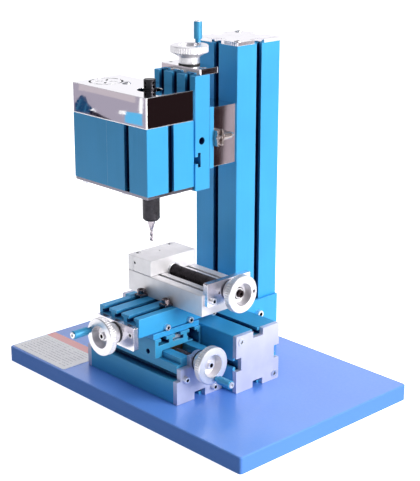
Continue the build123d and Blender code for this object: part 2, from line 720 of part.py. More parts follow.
def bearing(low):
    """A sealed ball bearing, a running fit on the spindle."""
    return ring(11, SHAFT_R + RUN_FIT, low, low + BEARING_H, SPINDLE)


def spindle_shaft():
    shaft = rod(SHAFT_R, 164, COVER_TOP + 2, at=SPINDLE)
    return shaft + rod(5.6, 171.5, HEAD_Z[0] + 0.6, at=SPINDLE)


def spindle_nut_cap():
    """The black capstan on the spindle's top, cross-drilled for a bar."""
    cap = rod(4.9, COVER_TOP + 0.2, COVER_TOP + 8.8, at=SPINDLE)
    cap = chamfer(cap.edges().sort_by(Axis.Z)[-1], 0.4)
    cap -= rod(4, COVER_TOP - 1, COVER_TOP + 2, at=SPINDLE)
    for z in (COVER_TOP + 2.9, COVER_TOP + 6):
        cap -= rod(1.2, HEAD_Y[0], SPINDLE[1], "y", (SPINDLE[0], z))
        cap -= rod(1.2, SPINDLE[0], SPINDLE[0] + 9, "x", (SPINDLE[1], z))
    return cap


def collet_nut():
    """The black collet nut, with wrench flats and a tapered nose."""
    low, high = 151, 170.8
    nut_body = rod(7.2, low, high, at=SPINDLE)
    nut_body = chamfer(nut_body.edges().sort_by(Axis.Z)[0], 1.6, 1.4)
    nut_body = chamfer(nut_body.edges().sort_by(Axis.Z)[-1], 0.6)
    nut_body -= rod(4.0, 164, high + 1, at=SPINDLE)
    nut_body -= rod(3.1, low - 1, 164.5, at=SPINDLE)
    for side in (-1, 1):
        x = sorted((SPINDLE[0] + side * 6.4, SPINDLE[0] + side * 8))
        nut_body -= block(x, (SPINDLE[1] - 8, SPINDLE[1] + 8), (158, high - 2.5))
    return nut_body


def end_mill():
    """A two-flute cutter: thick shank, neck and thin cutting end."""
    at = SPINDLE
    mill = rod(3.1, 148.5, 163.5, at=at)
    mill += Pos(*at, 144.75) * (Rot(180, 0, 0) * Cone(3.1, 1.6, 7.5))
    mill += rod(1.6, 133, 141.5, at=at)
    for side in (-1, 1):
        flute = block((side * 1.0 - 0.7, side * 1.0 + 0.7), (0.15 * side, 1.7 * side) if side > 0
                      else (-1.7, -0.15), (132, 140.5))
        mill -= Pos(at[0], at[1], 0) * flute
    return mill


def power_socket():
    """A round low-voltage socket in the cover, with its ring nut."""
    body = rod(SOCKET_R - 0.05, COVER_TOP - 9, COVER_TOP, at=SOCKET)
    body += rod(SOCKET_R + 0.8, COVER_TOP, COVER_TOP + 0.6, at=SOCKET)
    body -= rod(SOCKET_R - 0.7, COVER_TOP - 7, COVER_TOP + 3, at=SOCKET)
    return body + rod(0.8, COVER_TOP - 7.5, COVER_TOP - 0.8, at=SOCKET)


def head_bolts():
    """Bolts in the Z carriage's slots that hold the head's beam from behind."""
    bolts = []
    for z in (190, 222):
        for x in (-SLOT_PITCH, 0):
            at = (COLUMN_X + x, z)
            bolts.append(rod(2.4, HEAD_BACK - 2.2, HEAD_BACK + 3, "y", at)
                         + block((at[0] - 4.5, at[0] + 4.5), (HEAD_BACK + 2.9, HEAD_BACK + 5.2),
                                 (z - 4.5, z + 4.5)))
    return bolts


def make_head():
    beam = spindle_beam()
    for z in (190, 222):
        for x in (-SLOT_PITCH, 0):
            beam -= rod(2.5, HEAD_BACK - 4, HEAD_BACK + 1, "y", (COLUMN_X + x, z))
    parts["spindle_beam"] = beam
    parts["motor_housing"] = motor_housing()
    parts["belt_cover"] = belt_cover()
    parts["head_bottom_plate"] = head_bottom_plate()
    end_screws = [Z_FRAME * screw for screw in end_plate_screws(Z_SLIDE[1])]
    parts["head_screws"] = group(end_screws + head_bottom_screws() + head_bolts())
    parts["motor"] = motor()
    shaft = rod(MOTOR_SHAFT_R, HEAD_Z[0] + 2, PULLEY_Z + 8, at=MOTOR)
    parts["motor_shaft"] = group([shaft, pulley(MOTOR_PULLEY_R, MOTOR, PULLEY_Z, MOTOR_SHAFT_R)])
    parts["spindle_pulley"] = pulley(SPINDLE_PULLEY_R, SPINDLE, PULLEY_Z, 4)
    parts["drive_belt"] = drive_belt()
    bearing_lows = (HEAD_Z[0] + 1, HEAD_Z[1] - BEARING_H - 1)
    parts["spindle_bearings"] = group(bearing(low) for low in bearing_lows)
    parts["spindle_shaft"] = spindle_shaft()
    parts["spindle_cap"] = spindle_nut_cap()
    parts["collet_nut"] = collet_nut()
    parts["end_mill"] = end_mill()
    parts["power_socket"] = power_socket()


# --- vise ---------------------------------------------------------------------------------------
def vise_body():
    """The vise's slotted bed; its top has a channel for the screw and the jaw's key."""
    top = TABLE_TOP + VISE_BODY_H
    body = block(VISE_X, VISE_Y, (TABLE_TOP, top))
    body = fillet(body.edges().filter_by(Axis.X).group_by(Axis.Z)[-1], 0.8)
    body -= block((JAW_PART - 1, VISE_X[1] + 1), (VISE_MID - 9, VISE_MID + 9), (VISE_AXIS - 7.5, top + 1))
    for y in (VISE_Y[0] + 9.5, VISE_Y[1] - 9.5):
        body -= block((JAW_PART + 2, VISE_X[1] + 1), (y - 1.5, y + 1.5), (top - 2.2, top + 1))
    return body


def fixed_jaw():
    low = TABLE_TOP + VISE_BODY_H
    jaw = block((VISE_X[0], JAW_PART), VISE_Y, (low, TABLE_TOP + JAW_H))
    for y in JAW_SCREW_Y:
        jaw -= rod(1.6, low - 1, TABLE_TOP + JAW_H + 1, at=((VISE_X[0] + JAW_PART) / 2, y))
        jaw -= rod(2.85, TABLE_TOP + JAW_H - 3.2, TABLE_TOP + JAW_H + 1, at=((VISE_X[0] + JAW_PART) / 2, y))
    return jaw


JAW_SCREW_Y = (VISE_Y[0] + 7.5, VISE_Y[1] - 7.5)


def fixed_jaw_screws():
    x = (VISE_X[0] + JAW_PART) / 2
    seat = TABLE_TOP + JAW_H - 3.2
    return [Pos(x, y, seat) * cap_screw("M3", JAW_H - VISE_BODY_H - 3.4) for y in JAW_SCREW_Y]


def moving_jaw():
    """The sliding jaw, its key in the bed's channel and a bore for the screw's end."""
    low = TABLE_TOP + VISE_BODY_H + 0.3
    jaw = block((JAW_PART + 0.3, JAW_END), VISE_Y, (low, TABLE_TOP + JAW_H))
    jaw += block((JAW_PART + 0.3, JAW_END), (VISE_MID - 8.6, VISE_MID + 8.6), (VISE_AXIS - 7, low + 1))
    jaw -= rod(VISE_SCREW_R + RUN_FIT, JAW_END - 14, JAW_END + 1, "x", (VISE_MID, VISE_AXIS))
    jaw -= rod(1.2, VISE_Y[0] - 1, VISE_Y[0] + 6, "y", (JAW_PART + 2.5, TABLE_TOP + 25.5))
    jaw -= rod(1.0, TABLE_TOP + JAW_H - 6, TABLE_TOP + JAW_H + 1, at=(JAW_PART + 5, VISE_MID))
    return jaw


def vise_end_plate():
    x = (VISE_X[1], VISE_X[1] + 5)
    y = (VISE_MID - END_W / 2, VISE_MID + END_W / 2)
    plate = block(x, y, (VISE_AXIS - END_H / 2, VISE_AXIS + END_H / 2))
    plate = fillet(plate.edges().filter_by(Axis.X), 1.2)
    plate -= rod(VISE_SCREW_R + RUN_FIT, x[0] - 1, x[1] + 1, "x", (VISE_MID, VISE_AXIS))
    for side in (-1, 1):
        plate -= rod(1.6, x[0] - 1, x[1] + 1, "x", (VISE_MID + side * 19, VISE_AXIS - 5))
        plate -= rod(1.1, x[1] - 3, x[1] + 1, "x", (VISE_MID + side * 11, VISE_AXIS))
    return plate


def vise_end_screws():
    screw = turned(cap_screw("M3", 4.8), (1, 0, 0))
    return [Pos(VISE_X[1] + 5, VISE_MID + side * 19, VISE_AXIS - 5) * screw for side in (-1, 1)]


def vise_screw():
    start, end = JAW_END - 13.6, VISE_X[1] + 5 + 1.2 + SCREW_SEAT - 0.1
    shoulder = VISE_X[1] + 5 + 1
    screw = rod(VISE_SCREW_R, start, shoulder, "x", (VISE_MID, VISE_AXIS))
    screw = chamfer(screw.edges().sort_by(Axis.X)[0], 1)
    return screw + rod(LEAD_R, shoulder - 1, end, "x", (VISE_MID, VISE_AXIS))


def vise_wheel_frame():
    origin = (VISE_X[1] + 5 + 1.2, VISE_MID, VISE_AXIS)
    return Plane(origin=origin, x_dir=(0, 1, 0), z_dir=(1, 0, 0)).location


def table_clamp(x):
    """A slot nut, a clamp bar and its cap screw, holding the vise's front edge."""
    y = VISE_Y[0] - 4.2
    nut_plate = Pos(x, y, TABLE_TOP - 4.3) * (Box(10, 9, 2.6) - Cylinder(2.05, 3))
    bar = block((x - 4, x + 4), (y - 4, y + 3.9), (TABLE_TOP, TABLE_TOP + 2.4)) - rod(2.05, 70, 95, at=(x, y))
    return [nut_plate, bar, Pos(x, y, TABLE_TOP + 2.4) * cap_screw("M4", 7.6)]


def make_vise():
    parts["vise_body"] = vise_body()
    parts["vise_fixed_jaw"] = fixed_jaw()
    parts["vise_moving_jaw"] = moving_jaw()
    parts["vise_end_plate"] = vise_end_plate()
    parts["vise_screws"] = group(fixed_jaw_screws() + vise_end_screws())
    parts["vise_screw"] = vise_screw()
    parts["vise_handwheel"] = vise_wheel_frame() * group([handwheel(), wheel_screw()])
    clamps = [table_clamp(Y_X + place) for place in (-SLOT_PITCH, SLOT_PITCH)]
    parts["vise_clamps"] = group(piece for clamp in clamps for piece in clamp)


# --- build ----------------------------------------------------------------------------------------
def make_frame():
    parts["base_board"] = base_board()
    parts["label_card"] = label_card()
    parts["board_bolts"] = board_bolts()
    parts["bed_beam"] = bed_beam()
    ends = ((BED_X[1] - PLATE, 1), (BED_X[0] + PLATE, -1))
    parts["bed_end_plates"] = group(bed_end_plate(x, outward) for x, outward in ends)
    parts["beam_end_screws"] = beam_end_screws()
    parts["column_beam"] = column_beam()
    parts["column_cap"] = column_cap()
    parts["column_brackets"] = group([column_bracket(1), column_bracket(-1)])
    parts["column_bracket_screws"] = column_bracket_screws()


make_frame()
make_x_slide()
make_y_slide()
make_z_slide()
make_z_clamp()
make_head()
make_vise()

os.makedirs("parts", exist_ok=True)
for name, shape in parts.items():
    export_step(shape, f"parts/{name}.step")
print(len(parts), "nodes")
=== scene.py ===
import math

import bmesh
import bpy
from mathutils import Matrix, Vector


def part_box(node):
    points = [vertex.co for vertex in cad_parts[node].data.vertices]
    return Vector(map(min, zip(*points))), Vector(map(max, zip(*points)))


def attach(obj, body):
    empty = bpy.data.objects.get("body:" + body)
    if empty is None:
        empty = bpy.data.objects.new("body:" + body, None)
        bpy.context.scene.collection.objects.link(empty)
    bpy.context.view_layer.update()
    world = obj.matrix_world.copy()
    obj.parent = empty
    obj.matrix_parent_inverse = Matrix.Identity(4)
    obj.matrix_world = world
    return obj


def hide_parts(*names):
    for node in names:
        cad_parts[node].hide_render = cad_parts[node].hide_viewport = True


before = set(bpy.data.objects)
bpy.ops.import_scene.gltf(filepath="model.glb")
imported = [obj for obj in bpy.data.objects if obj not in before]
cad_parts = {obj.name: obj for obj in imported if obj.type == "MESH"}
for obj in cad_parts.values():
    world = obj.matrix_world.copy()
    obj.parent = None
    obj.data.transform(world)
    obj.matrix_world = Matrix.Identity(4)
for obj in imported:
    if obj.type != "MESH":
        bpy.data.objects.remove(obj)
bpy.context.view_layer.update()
MM = 0.001
TURN = 2 * math.pi
X, Y, Z = 0, 1, 2
AXES = (Vector((1, 0, 0)), Vector((0, 1, 0)), Vector((0, 0, 1)))


# --- places worked out from the frame ---------------------------------------------
def centre(node):
    low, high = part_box(node)
    return (low + high) / 2


def span(node, axis):
    low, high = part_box(node)
    return low[axis], high[axis]


X_SCREW, Y_SCREW, Z_SCREW = (centre(f"{name}_lead_screw") for name in "xyz")
VISE_SCREW, SPINDLE = centre("vise_screw"), centre("collet_nut")
COVER_TOP = span("belt_cover", Z)[1]
CARD_LOW, CARD_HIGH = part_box("label_card")


# --- camera, stage and light --------------------------------------------------------
CAMERA = Vector((0.74576, -0.69303, 0.45379))


def make_camera():
    """The view: a long lens from the front right, a little above."""
    azimuth, pitch, roll = math.radians(46.672), math.radians(17.798), math.radians(0.150)
    back = Vector((math.sin(azimuth) * math.cos(pitch), -math.cos(azimuth) * math.cos(pitch), math.sin(pitch)))
    data = bpy.data.cameras.new("camera")
    data.lens = 94.93
    data.clip_start, data.clip_end = 0.05, 50
    camera = bpy.data.objects.new("camera", data)
    camera.location = CAMERA
    camera.rotation_mode = "QUATERNION"
    camera.rotation_quaternion = back.to_track_quat("Z", "Y") @ Matrix.Rotation(roll, 3, "Z").to_quaternion()
    bpy.context.scene.collection.objects.link(camera)
    bpy.context.scene.camera = camera


def area_light(name, place, target, size, power, colour=(1, 1, 1)):
    data = bpy.data.lights.new(name, "AREA")
    data.shape = "RECTANGLE"
    data.size, data.size_y = size
    data.energy = power
    data.color = colour
    light = bpy.data.objects.new(name, data)
    light.location = place
    light.rotation_mode = "QUATERNION"
    light.rotation_quaternion = (Vector(target) - Vector(place)).to_track_quat("-Z", "Y")
    bpy.context.scene.collection.objects.link(light)


def make_lights():
    """A large soft light low on the right and a little behind, a weak one above, in a dim room."""
    area_light("key_right", (1.5, 0.42, 0.62), (0, 0, 0.12), (0.9, 0.8), 30, (1.0, 0.985, 0.97))
    area_light("top_soft", (-0.3, 0.3, 1.5), (0, 0, 0.1), (1.1, 1.1), 7)
    world = bpy.data.worlds.new("studio")
    world.use_nodes = True
    world.node_tree.nodes["Background"].inputs["Color"].default_value = (0.88, 0.92, 1, 1)
    world.node_tree.nodes["Background"].inputs["Strength"].default_value = 0.27
    bpy.context.scene.world = world
    bpy.context.scene.view_settings.view_transform = "Standard"


# --- building materials ---------------------------------------------------------------
class Surface:
    """A material being built: a Principled shader whose sockets take numbers or other nodes."""

    def __init__(self, name, colour=(0.8, 0.8, 0.8), **sockets):
        self.material = bpy.data.materials.new(name)
        self.material.use_nodes = True
        self.tree = self.material.node_tree
        self.shader = self.tree.nodes["Principled BSDF"]
        self.set(self.shader, {"Base Color": (*colour, 1), **sockets})
        self.material.diffuse_color = (*colour, 1)

    def set(self, node, sockets):
        for key, value in sockets.items():
            if isinstance(value, bpy.types.NodeSocket):
                self.tree.links.new(value, node.inputs[key])
            else:
                node.inputs[key].default_value = value

    def node(self, kind, sockets=None, **settings):
        made = self.tree.nodes.new("ShaderNode" + kind)
        for key, value in settings.items():
            setattr(made, key, value)
        self.set(made, sockets or {})
        return made

    def place(self):
        """Where a point is in the part's own frame; it moves with the piece."""
        return self.node("TexCoord").outputs["Object"]

    def split(self, vector):
        return self.node("SeparateXYZ", {0: vector}).outputs

    def math(self, operation, a, b=0.0):
        return self.node("Math", {0: a, 1: b}, operation=operation).outputs[0]

    def noise(self, scale, detail=3.0, vector=None):
        """Noise from 0 to 1. scale is in cycles per metre, one number or one for each axis."""
        if isinstance(scale, (int, float)):
            scale = (scale,) * 3
        mapped = self.node("Mapping", {"Vector": vector or self.place(), "Scale": scale})
        sockets = {"Vector": mapped.outputs[0], "Scale": 1.0, "Detail": detail, "Roughness": 0.5}
        return self.node("TexNoise", sockets).outputs["Fac"]

    def remap(self, value, low, high, to_low, to_high):
        sockets = {"Value": value, "From Min": low, "From Max": high, "To Min": to_low, "To Max": to_high}
        return self.node("MapRange", sockets).outputs[0]

    def mix(self, factor, a, b):
        """Colour a where factor is 0 and colour b where it is 1."""
        made = self.node("Mix", data_type="RGBA")
        for index, value in ((0, factor), (6, a), (7, b)):
            if isinstance(value, bpy.types.NodeSocket):
                self.tree.links.new(value, made.inputs[index])
            else:
                made.inputs[index].default_value = value if index == 0 else (*value, 1)
        return made.outputs[2]

    def mottled(self, value, low, high, colour, dark, light):
        """A colour that wanders between a darker and a lighter shade as a value does."""
        return self.mix(self.remap(value, low, high, 0, 1), shade(colour, dark), shade(colour, light))

    def painted_edge_highlight(self, edge, amount, tone, highlight_colour):
        """A tone with a painted highlight on the edges, in a paler colour."""
        return self.mix(self.math("MULTIPLY", edge, amount), tone, highlight_colour)

    def soft_edges(self, radius):
        """The normal with its edges rounded, and a mask that is 1 on the edges."""
        bevel = self.node("Bevel", {"Radius": radius}, samples=4).outputs[0]
        face = self.node("NewGeometry").outputs["Normal"]
        turned = self.node("VectorMath", {0: bevel, 1: face}, operation="DOT_PRODUCT").outputs["Value"]
        return bevel, self.remap(turned, 0.995, 0.86, 0.0, 1.0)

    def open_sky(self, reach):
        """How open a point is, from 0 deep in the piece's own slots to 1 on its faces."""
        return self.node("AmbientOcclusion", {"Distance": reach}, samples=6, only_local=True).outputs["AO"]

    def relief(self, height, depth, normal):
        """Bump of a real depth in metres on a normal, from a height of 0 to 1."""
        sockets = {"Height": height, "Distance": depth, "Strength": 1.0, "Normal": normal}
        self.set(self.shader, {"Normal": self.node("Bump", sockets).outputs[0]})

    def radius_about(self, origin, axis):
        """How far a point is from an axis."""
        offset = self.node("VectorMath", {0: self.place(), 1: tuple(origin)}, operation="SUBTRACT")
        keep = [1.0, 1.0, 1.0]
        keep[axis] = 0.0
        flat = self.node("VectorMath", {0: offset.outputs[0], 1: keep}, operation="MULTIPLY")
        return self.node("VectorMath", {0: flat.outputs[0]}, operation="LENGTH").outputs["Value"]


def stretched(axis, fine, coarse):
    scale = [fine] * 3
    scale[axis] = coarse
    return tuple(scale)


def shade(colour, factor):
    return tuple(min(1.0, part * factor) for part in colour)


# --- materials --------------------------------------------------------------------------
BLUE = (0.048, 0.44, 0.86)
# the anodised blue made darker: painted shade for the bed and the parts along X
BED_SHADE_BLUE = (0.055, 0.40, 0.70)
# the colour of the painted shade deep in the slots
SLOT_SHADE_BLUE = (0.001, 0.012, 0.12)


def anodised(name, axis, colour=BLUE):
    """Blue anodised extrusion: satin, with faint die lines along it, a painted highlight on the edges and
    painted shade deep in the slots.
    """
    s = Surface(name, colour, Metallic=0.12)
    lines = s.noise(stretched(axis, 2600, 12), 2)
    clouds = s.noise(28, 3)
    grit = s.noise(5200, 2)
    normal, edge = s.soft_edges(0.5 * MM)
    tone = s.mottled(clouds, 0.3, 0.7, colour, 0.94, 1.05)
    tone = s.mix(s.remap(lines, 0.35, 0.65, 0, 0.3), tone, shade(colour, 0.84))
    # painted highlight: the edges paler
    tone = s.painted_edge_highlight(edge, 0.65, tone, (0.35, 0.74, 0.97))
    # painted shade: dark blue where the piece's own slots keep out the light
    tone = s.mix(s.remap(s.open_sky(14 * MM), 0.32, 0.70, 0, 1), SLOT_SHADE_BLUE, tone)
    rough = s.remap(s.math("ADD", lines, s.math("MULTIPLY", grit, 0.5)), 0.45, 1.05, 0.34, 0.5)
    s.set(s.shader, {"Base Color": tone, "Roughness": rough, "Specular IOR Level": 0.35})
    s.relief(s.math("ADD", lines, grit), 0.01 * MM, normal)
    return s.material


def board_lacquer():
    """Blue sprayed lacquer on board, with a fine orange-peel and a painted highlight, a paler colour, on its
    edges.
    """
    colour = (0.135, 0.34, 0.98)
    s = Surface("board_lacquer", colour, Roughness=0.42)
    # the top was rubbed to a gloss; the sawn edges stay duller
    facing_up = s.split(s.node("NewGeometry").outputs["Normal"])[2]
    s.set(s.shader, {"Coat Weight": s.remap(facing_up, 0.3, 0.9, 0, 0.9), "Coat Roughness": 0.24,
                     "Specular IOR Level": s.remap(facing_up, 0.3, 0.9, 0.08, 0.5)})
    peel = s.noise(420, 3)
    clouds = s.noise(9, 2)
    speck = s.noise(2400, 2)
    normal, edge = s.soft_edges(0.5 * MM)
    tone = s.mottled(clouds, 0.3, 0.7, colour, 0.95, 1.06)
    tone = s.mix(s.remap(speck, 0.62, 0.75, 0, 0.25), tone, shade(colour, 1.5))
    # painted highlight: the edges paler
    tone = s.painted_edge_highlight(edge, 0.35, tone, shade(colour, 1.9))
    s.set(s.shader, {"Base Color": tone, "Roughness": s.remap(peel, 0.3, 0.7, 0.36, 0.5)})
    s.relief(s.math("ADD", peel, s.math("MULTIPLY", speck, 0.4)), 0.05 * MM, normal)
    return s.material


def printed_card():
    """A white card with a coloured band along its far side and plain grey rules below it."""
    s = Surface("printed_card", (0.9, 0.89, 0.89), Roughness=0.38)
    s.set(s.shader, {"Coat Weight": 1.0, "Coat Roughness": 0.3})
    x, y, _ = s.split(s.place())
    across = s.remap(x, CARD_LOW.x, CARD_HIGH.x, 0, 1)
    up = s.remap(y, CARD_LOW.y, CARD_HIGH.y, 0, 1)
    fibre = s.noise(1500, 3)
    paper = s.mix(s.remap(fibre, 0.3, 0.7, 0, 1), (0.95, 0.93, 0.95), (1.0, 0.99, 1.0))
    rules = s.math("FRACT", s.math("MULTIPLY", up, 13.0))
    rules = s.math("MULTIPLY", s.math("GREATER_THAN", rules, 0.45), s.math("LESS_THAN", rules, 0.72))
    margin = s.math("MULTIPLY", s.math("GREATER_THAN", across, 0.05), s.math("LESS_THAN", across, 0.93))
    body = s.math("MULTIPLY", s.math("GREATER_THAN", up, 0.08), s.math("LESS_THAN", up, 0.74))
    # words are only hinted at: each rule breaks up at random
    breaks = s.math("GREATER_THAN", s.noise((420, 60, 1), 1), 0.44)
    ink = s.math("MULTIPLY", s.math("MULTIPLY", rules, margin), s.math("MULTIPLY", body, breaks))
    tone = s.mix(s.math("MULTIPLY", ink, 0.6), paper, (0.22, 0.20, 0.24))
    band = s.math("GREATER_THAN", up, 0.80)
    tone = s.mix(s.math("MULTIPLY", band, 0.9), tone, (0.98, 0.27, 0.26))
    normal, _ = s.soft_edges(0.15 * MM)
    s.set(s.shader, {"Base Color": tone, "Roughness": s.remap(fibre, 0.3, 0.7, 0.32, 0.45)})
    s.relief(fibre, 0.01 * MM, normal)
    return s.material


def brushed(name, colour, axis, metallic=1.0, rough=(0.16, 0.32), depth=0.006, rim=1.2):
    """Polished metal with straight brush lines, a few faint rub marks and a painted highlight on the edges,
    rim times brighter.
    """
    s = Surface(name, colour, Metallic=metallic)
    lines = s.noise(stretched(axis, 4200, 45), 3)
    rubs = s.noise(60, 4)
    normal, edge = s.soft_edges(0.4 * MM)
    tone = s.mottled(rubs, 0.35, 0.7, colour, 0.94, 1.05)
    # painted highlight: the edges brighter by the factor rim
    tone = s.painted_edge_highlight(edge, 0.6, tone, shade(colour, rim))
    value = s.math("ADD", s.math("MULTIPLY", lines, 0.6), s.math("MULTIPLY", rubs, 0.4))
    s.set(s.shader, {"Base Color": tone, "Roughness": s.remap(value, 0.35, 0.65, *rough)})
    s.relief(lines, depth * MM, normal)
    return s.material


def milled(name, colour):
    """Ground and milled aluminium: a fine even grain, a painted highlight on the edges, painted shade in the
    recesses and a few rub marks.
    """
    s = Surface(name, colour, Metallic=0.45)
    fine = s.noise(3800, 3)
    rubs = s.noise(90, 3)
    normal, edge = s.soft_edges(0.35 * MM)
    tone = s.mottled(rubs, 0.35, 0.7, colour, 0.95, 1.03)
    # painted highlight: the edges near white
    tone = s.painted_edge_highlight(edge, 0.6, tone, (0.97, 0.97, 0.98))
    # painted shade: dark grey in recesses, where little light reaches
    tone = s.mix(s.remap(s.open_sky(8 * MM), 0.15, 0.5, 0, 1), (0.10, 0.10, 0.13), tone)
    s.set(s.shader, {"Base Color": tone, "Roughness": s.remap(fine, 0.2, 0.8, 0.34, 0.5)})
    s.relief(fine, 0.004 * MM, normal)
    return s.material


def turned(name, colour, origin, axis, metallic=0.85, rough=(0.18, 0.34), grooves=3200, socket=0.0):
    """Lathe-turned metal: fine rings about its axis, a painted highlight on the edges, and painted shade, near
    black, in a socket on the axis.
    """
    s = Surface(name, colour, Metallic=metallic)
    radius = s.radius_about(origin, axis)
    along = s.split(s.place())[axis]
    profile = s.node("CombineXYZ", {0: radius, 1: along}).outputs[0]
    rings = s.noise((grooves, grooves * 0.5, 1), 2, profile)
    rubs = s.noise(120, 3)
    normal, edge = s.soft_edges(0.3 * MM)
    tone = s.mottled(rubs, 0.3, 0.7, colour, 0.93, 1.06)
    # painted highlight: the edges paler
    tone = s.painted_edge_highlight(edge, 0.6, tone, shade(colour, 1.35))
    # painted shade: near black inside the socket on the axis
    if socket:
        tone = s.mix(s.remap(radius, socket, socket * 1.15, 0, 1), (0.02, 0.01, 0.012), tone)
    s.set(s.shader, {"Base Color": tone, "Roughness": s.remap(rings, 0.3, 0.7, *rough)})
    s.relief(rings, 0.012 * MM, normal)
    return s.material


def chrome():
    """Mirror chrome plate with a slight roll in the sheet, faint wipe marks and a painted highlight on the
    edges.
    """
    s = Surface("chrome_plate", (0.86, 0.85, 0.87), Metallic=1.0)
    roll = s.noise(16, 2)
    wipes = s.noise((240, 240, 900), 4)
    normal, edge = s.soft_edges(0.9 * MM)
    # painted highlight: the edges nearly white
    tone = s.mix(edge, (0.86, 0.85, 0.87), (0.97, 0.97, 0.98))
    s.set(s.shader, {"Base Color": tone, "Roughness": s.remap(wipes, 0.35, 0.75, 0.015, 0.05)})
    s.relief(roll, 0.12 * MM, normal)
    return s.material


def black_oxide(name, origin, axis, colour):
    """Black oxide steel: dark, half glossy, turned, with a painted highlight on the edges."""
    s = Surface(name, colour, Metallic=0.75)
    radius = s.radius_about(origin, axis)
    along = s.split(s.place())[axis]
    rings = s.noise((2800, 1800, 1), 2, s.node("CombineXYZ", {0: radius, 1: along}).outputs[0])
    oil = s.noise(160, 3)
    normal, edge = s.soft_edges(0.25 * MM)
    tone = s.mottled(oil, 0.3, 0.7, colour, 0.7, 1.6)
    # painted highlight: the edges a lighter grey
    tone = s.painted_edge_highlight(edge, 0.55, tone, (0.22, 0.21, 0.22))
    s.set(s.shader, {"Base Color": tone, "Roughness": s.remap(rings, 0.3, 0.7, 0.24, 0.42)})
    s.relief(rings, 0.02 * MM, normal)
    return s.material


def moulded(name, colour, rough=(0.45, 0.62)):
    """Moulded plastic or rubber with a fine grain and a painted highlight on the edges."""
    s = Surface(name, colour)
    grain = s.noise(2200, 3)
    cloud = s.noise(70, 2)
    normal, edge = s.soft_edges(0.25 * MM)
    tone = s.mottled(cloud, 0.3, 0.7, colour, 0.85, 1.25)
    # painted highlight: the edges paler
    tone = s.painted_edge_highlight(edge, 0.4, tone, shade(colour, 2.2))
    s.set(s.shader, {"Base Color": tone, "Roughness": s.remap(grain, 0.3, 0.7, *rough)})
    s.relief(grain, 0.03 * MM, normal)
    return s.material


def zinc():
    """Zinc-plated steel fasteners with a mottled bright finish, a painted highlight on the edges and painted
    shade, near black, in the sockets.
    """
    colour = (0.80, 0.80, 0.83)
    s = Surface("zinc_plate", colour, Metallic=0.9)
    crystals = s.node("TexVoronoi", {"Vector": s.place(), "Scale": 1600.0}).outputs["Distance"]
    mottle = s.noise(600, 3)
    normal, edge = s.soft_edges(0.2 * MM)
    tone = s.mottled(mottle, 0.3, 0.7, colour, 0.85, 1.15)
    # painted highlight: the edges near white
    tone = s.painted_edge_highlight(edge, 0.7, tone, (0.95, 0.95, 0.97))
    # painted shade: near black deep in sockets and holes
    tone = s.mix(s.remap(s.open_sky(3 * MM), 0.5, 0.8, 0, 1), (0.01, 0.008, 0.012), tone)
    s.set(s.shader, {"Base Color": tone, "Roughness": s.remap(crystals, 0, 0.6, 0.18, 0.36)})
    s.relief(mottle, 0.015 * MM, normal)
    return s.material


# --- meshes --------------------------------------------------------------------------------
def mesh_piece(name, mesh, material, body, smooth=True):
    """A mesh in the part's frame, made into a piece that rides on a body."""
    if smooth:
        for face in mesh.polygons:
            face.use_smooth = True
    mesh.materials.append(material)
    piece = bpy.data.objects.new(name, mesh)
    bpy.context.scene.collection.objects.link(piece)
    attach(piece, body)
    return piece


def axis_frame(axis):
    """Two directions across an axis, so that angles turn about it by the right-hand rule."""
    return AXES[(axis + 1) % 3], AXES[(axis + 2) % 3]


def swept_rings(name, rings, closed_loop=False):
    """A mesh of quads between rings of points, capped at both ends unless it closes on itself."""
    work = bmesh.new()
    rows = [[work.verts.new(point) for point in ring] for ring in rings]
    pairs = list(zip(rows, rows[1:]))
    if closed_loop:
        pairs.append((rows[-1], rows[0]))
    for low, high in pairs:
        for i in range(len(low)):
            j = (i + 1) % len(low)
            work.faces.new((low[i], low[j], high[j], high[i]))
    if not closed_loop:
        work.faces.new(list(reversed(rows[0])))
        work.faces.new(rows[-1])
    bmesh.ops.recalc_face_normals(work, faces=work.faces)
    mesh = bpy.data.meshes.new(name)
    work.to_mesh(mesh)
    work.free()
    return mesh


def ring_points(origin, axis, height, radius_at, count):
    """Points round an axis at a height along it; radius_at gives the radius at an angle."""
    u, v = axis_frame(axis)
    base = Vector(origin)
    base[axis] = height
    points = []
    for i in range(count):
        angle = TURN * i / count
        radius = radius_at(angle)
        points.append(base + u * (radius * math.cos(angle)) + v * (radius * math.sin(angle)))
    return points


def lathe(name, origin, axis, profile, count=48):
    """A turned tube wall from (radius, height) points; heights are places on the axis itself."""
    rings = [ring_points(origin, axis, height, lambda _, r=radius: r, count) for radius, height in profile]
    return swept_rings(name, rings, closed_loop=True)


def threaded_rod(name, node, axis, radius, pitch, plain=0.0, count=20, steps=6):
    """A rod with a real helical thread in place of a CAD rod; plain is its smooth far end."""
    origin = centre(node)
    start, end = span(node, axis)
    depth = pitch * 0.54
    turns = (end - plain - start) / pitch
    rings = []
    for k in range(int(turns * steps) + 1):
        height = start + k * pitch / steps
        fade = min(1.0, k / steps, (int(turns * steps) - k) / steps)

        def radius_at(angle, height=height, fade=fade):
            phase = ((height - start) / pitch - angle / TURN) % 1.0
            groove = max(0.0, 1.0 - abs(phase - 0.5) / 0.44)
            return radius - depth * groove * fade
        rings.append(ring_points(origin, axis, height, radius_at, count))
    if plain:
        rings.append(ring_points(origin, axis, end, lambda _: radius, count))
    rings = [ring_points(origin, axis, start, lambda _: radius - depth, count)] + rings[1:]
    return swept_rings(name, rings)


# --- pieces ------------------------------------------------------------------------------------
LEAD_SCREW_R, LEAD_SCREW_PITCH = 3.0 * MM, 1.0 * MM
VISE_SCREW_R, VISE_SCREW_PITCH = 5.0 * MM, 1.5 * MM
WASHER_R, WASHER_BORE_R, WASHER_T = 8.9 * MM, 3.4 * MM, 0.95 * MM
WASHER_GAP = 0.05 * MM              # between a washer and its end plate
SCREW_IN_JAW = 13.6 * MM            # how far the vise's screw reaches into the moving jaw


